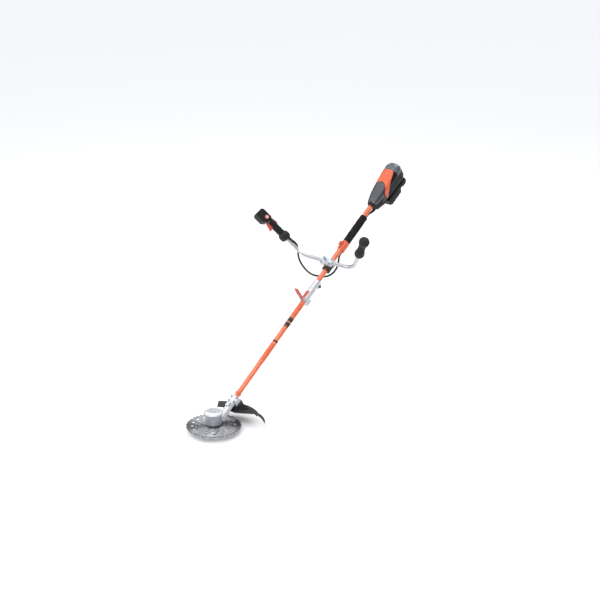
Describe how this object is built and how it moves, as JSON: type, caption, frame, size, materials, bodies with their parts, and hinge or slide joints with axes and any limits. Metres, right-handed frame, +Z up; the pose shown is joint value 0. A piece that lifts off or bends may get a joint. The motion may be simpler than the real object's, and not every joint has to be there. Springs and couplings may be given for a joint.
{
  "type": "brush cutter",
  "caption": "Battery brush cutter with a saw blade on a head motor, a rear guard, a two-piece shaft with a lever coupling, a bent handlebar with control grip and a rear battery housing.",
  "frame": {"origin": "on the blade's axis, at the flat foot of the stabiliser cup that touches the ground", "axes": "+Z up along the blade's axis, +Y along the ground towards the operator and the rear housing, +X to the operator's left"},
  "size_m": [0.6672, 1.5008, 0.961],
  "materials": {
    "orange_tube": "gloss paint over steel tube",
    "orange_sleeve": "satin printed sleeve, left blank",
    "dark_sleeve": "satin dark sleeve, left blank",
    "black_plastic": "fine moulded texture",
    "dark_plastic": "semi-gloss moulded plastic",
    "grey_plastic": "satin moulded plastic",
    "battery_plastic": "moulded texture with ribs",
    "guard_plastic": "coarse moulded texture",
    "cast_silver": "die-cast, silver lacquer",
    "bare_aluminium": "extruded",
    "silver_tube": "bright anodised tube",
    "zinc_steel": "zinc plated",
    "blade_steel": "ground plate, lacquered",
    "carbide": "ground carbide",
    "black_steel": "black oxide",
    "spring_steel": "bright steel",
    "brown_rubber": "matte rubber",
    "grip_rubber": "matte rubber",
    "black_foam": "open foam skin",
    "cable_rubber": "smooth jacket",
    "orange_plastic": "semi-gloss moulded plastic",
    "red_plastic": "semi-gloss moulded plastic",
    "light_button": "satin button",
    "circuit_board": "coated board"
  },
  "bodies": {
    "upper_shaft": {"upper_tube": "orange_tube", "power_connectors": "black_plastic", "coupling_body": "cast_silver", "lever_rest": "red_plastic", "coupling_hardware": "black_steel", "lock_spring": "spring_steel", "handle_damper": "brown_rubber", "handle_bracket_base": "cast_silver", "handle_bracket_cap": "cast_silver", "bracket_bolts": "zinc_steel", "harness_collar_upper": "orange_plastic", "harness_collar_lower": "orange_plastic", "foam_sleeve": "black_foam", "control_cable": "cable_rubber", "nose_cover": "grey_plastic", "top_cover": "orange_plastic", "rear_cap": "dark_plastic", "housing_left": "black_plastic", "housing_right": "black_plastic", "housing_frame": "black_plastic", "controller_board": "circuit_board", "heat_sink": "bare_aluminium"},
    "lower_shaft": {"lower_tube": "orange_tube", "motor_can": "cast_silver", "motor_lid": "cast_silver", "motor_stator": "black_steel", "motor_bearings": "spring_steel", "neck_casting": "cast_silver", "head_screws": "zinc_steel", "guard": "guard_plastic", "guard_clamp_base": "cast_silver", "guard_clamp_cap": "cast_silver", "orange_sleeves": "orange_sleeve", "dark_sleeves": "dark_sleeve", "motor_cable": "cable_rubber", "lower_plug": "black_plastic"},
    "blade_spindle": {"output_shaft": "spring_steel", "rotor_magnets": "black_steel", "blade_holders": "zinc_steel", "saw_blade": "blade_steel", "carbide_tips": "carbide", "stabiliser_cup": "zinc_steel", "blade_nut": "zinc_steel"},
    "coupling_lever": {"coupling_lever": "red_plastic"},
    "lock_button": {"lock_button": "black_plastic"},
    "handlebar": {"handlebar_tube": "silver_tube", "left_grip": "grip_rubber", "control_grip_inner": "black_plastic", "control_grip_outer": "black_plastic", "grip_flange": "grip_rubber", "grip_pins": "spring_steel", "switch_module": "black_plastic", "trigger_spring": "spring_steel"},
    "trigger": {"trigger": "red_plastic"},
    "lock_off_lever": {"lock_off_lever": "red_plastic"},
    "power_button": {"power_button": "light_button"},
    "battery": {"battery_case": "battery_plastic", "battery_lid": "battery_plastic", "battery_cells": "spring_steel"},
    "battery_latch": {"battery_latch": "dark_plastic"}
  },
  "joints": [
    {"name": "lower_shaft_pull", "type": "slide", "parent": "upper_shaft", "child": "lower_shaft", "axis": [0, -0.829, -0.5592], "range_m": [0, 0.09]},
    {"name": "blade_spin", "type": "hinge", "parent": "lower_shaft", "child": "blade_spindle", "pos_m": [0, 0, 0.03], "axis": [0, 0, 1], "continuous": true},
    {"name": "coupling_lever_hinge", "type": "hinge", "parent": "upper_shaft", "child": "coupling_lever", "pos_m": [0, 0.62135, 0.46185], "axis": [1, 0, 0], "range_deg": [-86, 6]},
    {"name": "lock_button_pull", "type": "slide", "parent": "upper_shaft", "child": "lock_button", "axis": [0, 0.5592, -0.829], "range_m": [0, 0.004], "stiffness_N_per_m": 600},
    {"name": "handlebar_tilt", "type": "hinge", "parent": "upper_shaft", "child": "handlebar", "pos_m": [0, 0.8087, 0.59183], "axis": [1, 0, 0], "range_deg": [-20, 15], "deforming": ["control_cable"]},
    {"name": "trigger_pull", "type": "hinge", "parent": "handlebar", "child": "trigger", "pos_m": [-0.30112, 0.72574, 0.74129], "axis": [0.7501, -0.269, 0.6041], "range_deg": [0, 10], "stiffness_Nm_per_rad": 0.6, "deforming": ["trigger_spring"]},
    {"name": "lock_off_press", "type": "hinge", "parent": "handlebar", "child": "lock_off_lever", "pos_m": [-0.30112, 0.75086, 0.75247], "axis": [-0.7501, 0.269, -0.6041], "range_deg": [0, 6], "stiffness_Nm_per_rad": 0.4},
    {"name": "power_button_press", "type": "slide", "parent": "handlebar", "child": "power_button", "axis": [-0.7501, 0.269, -0.6041], "range_m": [0, 0.0015], "stiffness_N_per_m": 500},
    {"name": "battery_slide", "type": "slide", "parent": "upper_shaft", "child": "battery", "axis": [0, 0.829, 0.5592], "range_m": [0, 0.14]},
    {"name": "battery_latch_press", "type": "slide", "parent": "battery", "child": "battery_latch", "axis": [0, -0.829, -0.5592], "range_m": [0, 0.003], "stiffness_N_per_m": 500}
  ]
}
